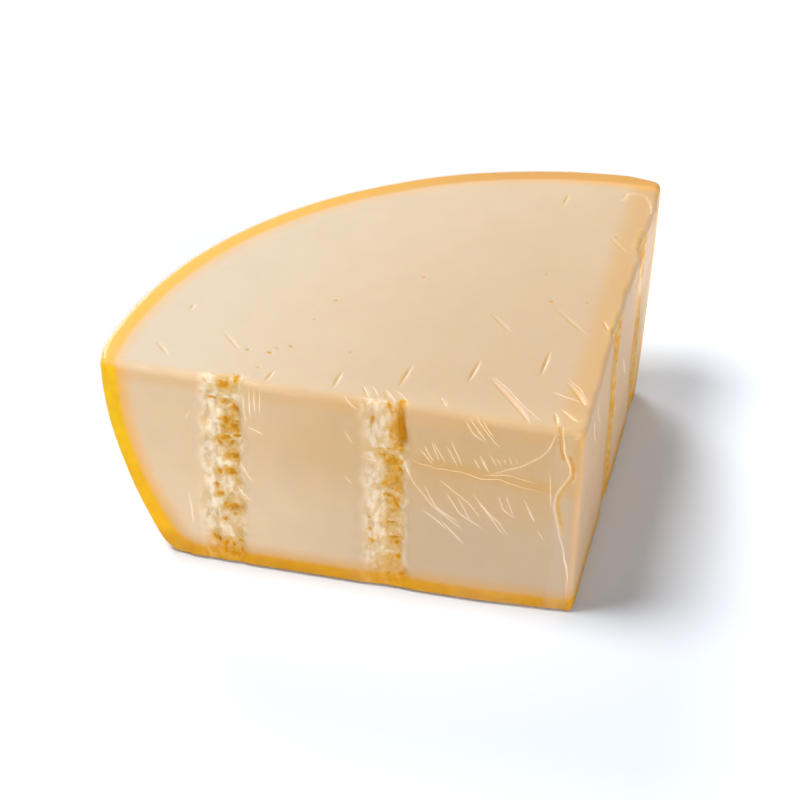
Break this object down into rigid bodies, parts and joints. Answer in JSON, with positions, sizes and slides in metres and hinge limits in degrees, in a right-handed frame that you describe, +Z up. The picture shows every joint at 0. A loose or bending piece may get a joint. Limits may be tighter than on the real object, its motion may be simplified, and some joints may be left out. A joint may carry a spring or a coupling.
{
  "type": "cheese wedge",
  "caption": "Quarter-round wedge from a half-height wheel of hard cheese, with a thin golden rind, torn grooves down its cut faces and a skin of clear vacuum film.",
  "frame": {"origin": "middle of the box's base, on the surface the wedge stands on", "axes": "+Z up; the front cut face looks along -Y and the right cut face along +X, so the wheel's axis is the upright edge at +X, -Y"},
  "size_m": [0.2148, 0.2148, 0.096],
  "materials": {
    "cheese": "pale cream paste with a thin golden rind",
    "film": "clear vacuum film, glossy, finely wrinkled"
  },
  "bodies": {
    "root": {"cheese_wedge": "cheese"}
  },
  "joints": []
}
